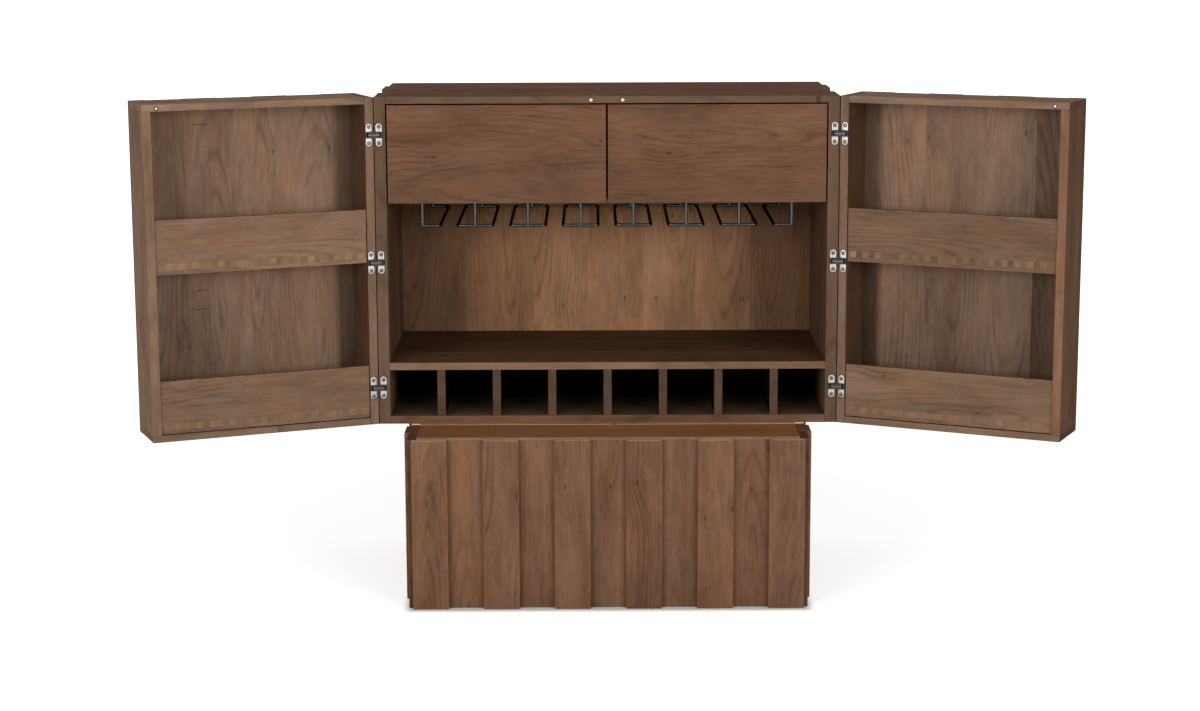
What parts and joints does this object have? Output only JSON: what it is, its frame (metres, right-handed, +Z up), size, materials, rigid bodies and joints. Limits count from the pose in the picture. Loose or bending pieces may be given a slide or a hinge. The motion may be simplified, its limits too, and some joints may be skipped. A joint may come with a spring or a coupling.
{
  "type": "bar armoire",
  "caption": "Solid-wood bar armoire with two deep box doors on concealed hinges, drawers, stemware rails, a serving niche, bottle cubbies and a slatted box base.",
  "frame": {"origin": "centre of the base's underside, on the floor", "axes": "+X to the right as seen from the front, +Y into the cabinet towards its back, +Z up"},
  "size_m": [1.9497, 0.6129, 1.05],
  "materials": {
    "carcass_wood": "matt, brushed, open grain",
    "base_wood": "matt, brushed, open grain",
    "ledge_wood": "matt, brushed, open grain",
    "door_wood": "matt, brushed, open grain",
    "tray_wood": "matt, brushed, open grain",
    "drawer_wood": "matt, brushed, open grain",
    "black_wire": "semi-matt black",
    "hinge_zinc": "satin",
    "slide_steel": "satin"
  },
  "bodies": {
    "cabinet": {"base_front": "base_wood", "base_left_side": "base_wood", "base_right_side": "base_wood", "base_back": "base_wood", "base_bottom": "base_wood", "base_top": "ledge_wood", "carcass_left_side": "carcass_wood", "carcass_right_side": "carcass_wood", "carcass_top": "carcass_wood", "carcass_bottom": "carcass_wood", "carcass_back": "carcass_wood", "drawer_deck": "carcass_wood", "bar_shelf": "carcass_wood", "bottle_divider_1": "carcass_wood", "bottle_divider_2": "carcass_wood", "bottle_divider_3": "carcass_wood", "bottle_divider_4": "carcass_wood", "bottle_divider_5": "carcass_wood", "bottle_divider_6": "carcass_wood", "bottle_divider_7": "carcass_wood", "stemware_rail_1": "black_wire", "stemware_rail_2": "black_wire", "stemware_rail_3": "black_wire", "stemware_rail_4": "black_wire", "stemware_rail_5": "black_wire", "stemware_rail_6": "black_wire", "stemware_rail_7": "black_wire", "stemware_rail_8": "black_wire", "left_case_leaf_lower": "hinge_zinc", "left_case_leaf_middle": "hinge_zinc", "left_case_leaf_upper": "hinge_zinc", "right_case_leaf_lower": "hinge_zinc", "right_case_leaf_middle": "hinge_zinc", "right_case_leaf_upper": "hinge_zinc"},
    "left_door": {"left_door_panel": "door_wood", "left_door_top": "door_wood", "left_door_bottom": "door_wood", "left_door_hinge_side": "door_wood", "left_door_free_side": "door_wood", "left_door_lower_tray": "tray_wood", "left_door_upper_tray": "tray_wood", "left_door_leaf_lower": "hinge_zinc", "left_door_leaf_middle": "hinge_zinc", "left_door_leaf_upper": "hinge_zinc"},
    "right_door": {"right_door_panel": "door_wood", "right_door_top": "door_wood", "right_door_bottom": "door_wood", "right_door_hinge_side": "door_wood", "right_door_free_side": "door_wood", "right_door_lower_tray": "tray_wood", "right_door_upper_tray": "tray_wood", "right_door_leaf_lower": "hinge_zinc", "right_door_leaf_middle": "hinge_zinc", "right_door_leaf_upper": "hinge_zinc"},
    "left_slide": {"left_drawer_slide": "slide_steel"},
    "left_drawer": {"left_drawer_front": "drawer_wood", "left_drawer_box": "drawer_wood"},
    "right_slide": {"right_drawer_slide": "slide_steel"},
    "right_drawer": {"right_drawer_front": "drawer_wood", "right_drawer_box": "drawer_wood"}
  },
  "joints": [
    {"name": "left_door_hinge", "type": "hinge", "parent": "cabinet", "child": "left_door", "pos_m": [-0.4825, -0.1236, 0.7055], "axis": [0, 0, -1], "range_deg": [-157.6, 22.4]},
    {"name": "right_door_hinge", "type": "hinge", "parent": "cabinet", "child": "right_door", "pos_m": [0.4825, -0.1236, 0.7055], "axis": [0, 0, 1], "range_deg": [-154.4, 25.6]},
    {"name": "left_slide_run", "type": "slide", "parent": "cabinet", "child": "left_slide", "axis": [0, -1, 0], "range_m": [0, 0.125]},
    {"name": "left_drawer_run", "type": "slide", "parent": "left_slide", "child": "left_drawer", "axis": [0, -1, 0], "range_m": [0, 0.125]},
    {"name": "right_slide_run", "type": "slide", "parent": "cabinet", "child": "right_slide", "axis": [0, -1, 0], "range_m": [0, 0.125]},
    {"name": "right_drawer_run", "type": "slide", "parent": "right_slide", "child": "right_drawer", "axis": [0, -1, 0], "range_m": [0, 0.125]}
  ]
}
